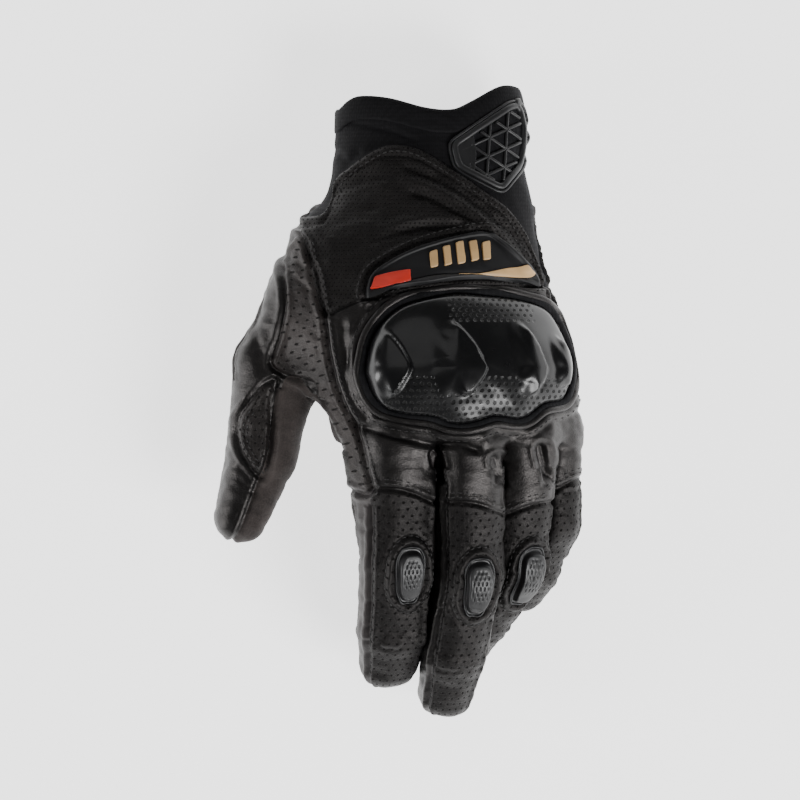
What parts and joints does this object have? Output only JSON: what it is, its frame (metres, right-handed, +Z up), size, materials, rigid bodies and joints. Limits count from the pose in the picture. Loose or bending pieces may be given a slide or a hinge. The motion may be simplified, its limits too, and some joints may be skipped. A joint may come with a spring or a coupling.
{
  "type": "motorcycle riding glove",
  "caption": "Left short-cuff leather riding glove with stretch sleeve, moulded knuckle guard, perforated finger backs and rubber knuckle inserts.",
  "frame": {"origin": "centre of the glove's box at the surface that it lies on, palm down", "axes": "+Z up from the back of the hand, fingers point to -Y, cuff opens to +Y, thumb at -X"},
  "size_m": [0.1412, 0.239, 0.0813],
  "materials": {
    "smooth_leather": "soft semi-gloss",
    "perforated_leather": "perforated, semi-gloss",
    "palm_suede": "matt suede",
    "stretch_knit": "matt knit",
    "lining_fabric": "matt",
    "guard_plastic": "gloss",
    "badge_rubber": "satin",
    "gold_print": "satin",
    "red_print": "satin",
    "lattice_rubber": "satin",
    "mesh_fabric": "matt",
    "insert_rubber": "satin",
    "loop_fabric": "matt",
    "hook_plastic": "matt",
    "strap_rubber": "satin"
  },
  "bodies": {
    "hand": {"back_lining": "lining_fabric", "badge_bars": "gold_print", "badge_plate": "badge_rubber", "badge_red_tab": "red_print", "cuff_hem": "stretch_knit", "cuff_sleeve": "stretch_knit", "finger_gussets": "stretch_knit", "index_side_panel": "perforated_leather", "knuckle_back_panel": "smooth_leather", "knuckle_base_panel": "smooth_leather", "knuckle_guard": "guard_plastic", "knuckle_guard_foam": "lining_fabric", "knuckle_guard_trim": "smooth_leather", "palm_heel_pad": "palm_suede", "palm_heel_panel": "palm_suede", "palm_panel": "palm_suede", "side_gusset": "perforated_leather", "thumb_root_panel": "smooth_leather", "wrist_back_panel": "perforated_leather", "wrist_lattice_backing": "mesh_fabric", "wrist_lattice_guard": "lattice_rubber", "wrist_loop_pad": "loop_fabric", "wrist_side_panel": "smooth_leather"},
    "index_base": {"index_base_back": "perforated_leather", "index_base_front": "palm_suede"},
    "index_middle": {"index_knuckle_insert": "insert_rubber", "index_middle_back": "perforated_leather", "index_middle_front": "palm_suede"},
    "index_tip": {"index_tip_back": "perforated_leather", "index_tip_front": "palm_suede"},
    "little_base": {"little_base_back": "perforated_leather", "little_base_front": "palm_suede"},
    "little_middle": {"little_middle_back": "perforated_leather", "little_middle_front": "palm_suede"},
    "little_tip": {"little_tip_back": "perforated_leather", "little_tip_front": "palm_suede"},
    "middle_base": {"middle_base_back": "perforated_leather", "middle_base_front": "palm_suede"},
    "middle_middle": {"middle_knuckle_insert": "insert_rubber", "middle_middle_back": "perforated_leather", "middle_middle_front": "palm_suede"},
    "middle_tip": {"middle_tip_back": "perforated_leather", "middle_tip_front": "palm_suede"},
    "ring_base": {"ring_base_back": "perforated_leather", "ring_base_front": "palm_suede"},
    "ring_middle": {"ring_knuckle_insert": "insert_rubber", "ring_middle_back": "perforated_leather", "ring_middle_front": "palm_suede"},
    "ring_tip": {"ring_tip_back": "perforated_leather", "ring_tip_front": "palm_suede"},
    "wrist_strap": {"strap_band": "strap_rubber", "strap_hook_pad": "hook_plastic", "strap_pull_tab": "strap_rubber"},
    "thumb_base": {"thumb_base_back": "smooth_leather", "thumb_base_front": "palm_suede"},
    "thumb_tip": {"thumb_tip_back": "smooth_leather", "thumb_tip_front": "palm_suede"}
  },
  "joints": [
    {"name": "index_base_bend", "type": "hinge", "parent": "hand", "child": "index_base", "pos_m": [-0.00031, -0.01476, 0.05809], "axis": [0.965, 0.0438, -0.2586], "range_deg": [-12, 50], "stiffness_Nm_per_rad": 0.12},
    {"name": "index_middle_bend", "type": "hinge", "parent": "index_base", "child": "index_middle", "pos_m": [-0.00067, -0.05938, 0.0492], "axis": [0.965, 0.0438, -0.2586], "range_deg": [-10, 65], "stiffness_Nm_per_rad": 0.08},
    {"name": "index_tip_bend", "type": "hinge", "parent": "index_middle", "child": "index_tip", "pos_m": [-0.00273, -0.08564, 0.03706], "axis": [0.965, 0.0438, -0.2586], "range_deg": [-6, 39], "stiffness_Nm_per_rad": 0.05},
    {"name": "middle_base_bend", "type": "hinge", "parent": "hand", "child": "middle_base", "pos_m": [0.02389, -0.01376, 0.05559], "axis": [0.943, 0.0726, -0.3247], "range_deg": [-12, 50], "stiffness_Nm_per_rad": 0.12},
    {"name": "middle_middle_bend", "type": "hinge", "parent": "middle_base", "child": "middle_middle", "pos_m": [0.02475, -0.06449, 0.04677], "axis": [0.943, 0.0726, -0.3247], "range_deg": [-10, 65], "stiffness_Nm_per_rad": 0.08},
    {"name": "middle_tip_bend", "type": "hinge", "parent": "middle_middle", "child": "middle_tip", "pos_m": [0.02245, -0.09456, 0.03337], "axis": [0.943, 0.0726, -0.3247], "range_deg": [-6, 39], "stiffness_Nm_per_rad": 0.05},
    {"name": "ring_base_bend", "type": "hinge", "parent": "hand", "child": "ring_base", "pos_m": [0.04589, -0.01226, 0.04359], "axis": [0.9047, 0.0601, -0.4219], "range_deg": [-12, 50], "stiffness_Nm_per_rad": 0.12},
    {"name": "ring_middle_bend", "type": "hinge", "parent": "ring_base", "child": "ring_middle", "pos_m": [0.04416, -0.06108, 0.03293], "axis": [0.9047, 0.0601, -0.4219], "range_deg": [-10, 65], "stiffness_Nm_per_rad": 0.08},
    {"name": "ring_tip_bend", "type": "hinge", "parent": "ring_middle", "child": "ring_tip", "pos_m": [0.03901, -0.08234, 0.01887], "axis": [0.9047, 0.0601, -0.4219], "range_deg": [-6, 39], "stiffness_Nm_per_rad": 0.05},
    {"name": "little_base_bend", "type": "hinge", "parent": "hand", "child": "little_base", "pos_m": [0.06219, -0.01176, 0.02909], "axis": [0.8462, 0.0651, -0.5288], "range_deg": [-12, 50], "stiffness_Nm_per_rad": 0.072},
    {"name": "little_middle_bend", "type": "hinge", "parent": "little_base", "child": "little_middle", "pos_m": [0.06155, -0.04486, 0.02399], "axis": [0.8462, 0.0651, -0.5288], "range_deg": [-10, 65], "stiffness_Nm_per_rad": 0.048},
    {"name": "little_tip_bend", "type": "hinge", "parent": "little_middle", "child": "little_tip", "pos_m": [0.05699, -0.06301, 0.01446], "axis": [0.8462, 0.0651, -0.5288], "range_deg": [-6, 39], "stiffness_Nm_per_rad": 0.03},
    {"name": "thumb_base_bend", "type": "hinge", "parent": "hand", "child": "thumb_base", "pos_m": [-0.05221, 0.01474, 0.03609], "axis": [0.2417, -0.047, 0.9692], "range_deg": [-14, 12], "stiffness_Nm_per_rad": 0.12},
    {"name": "thumb_tip_bend", "type": "hinge", "parent": "thumb_base", "child": "thumb_tip", "pos_m": [-0.05426, -0.01818, 0.03501], "axis": [0.2417, -0.047, 0.9692], "range_deg": [-5, 50], "stiffness_Nm_per_rad": 0.05},
    {"name": "wrist_strap_peel", "type": "hinge", "parent": "hand", "child": "wrist_strap", "pos_m": [0.05303, 0.06774, 0.02119], "axis": [0.0721, -0.9879, 0.1376], "range_deg": [0, 110]}
  ],
  "couplings": [
    {"joint": "index_tip_bend", "follows": "index_middle_bend", "ratio": 0.6},
    {"joint": "middle_tip_bend", "follows": "middle_middle_bend", "ratio": 0.6},
    {"joint": "ring_tip_bend", "follows": "ring_middle_bend", "ratio": 0.6},
    {"joint": "little_tip_bend", "follows": "little_middle_bend", "ratio": 0.6}
  ]
}
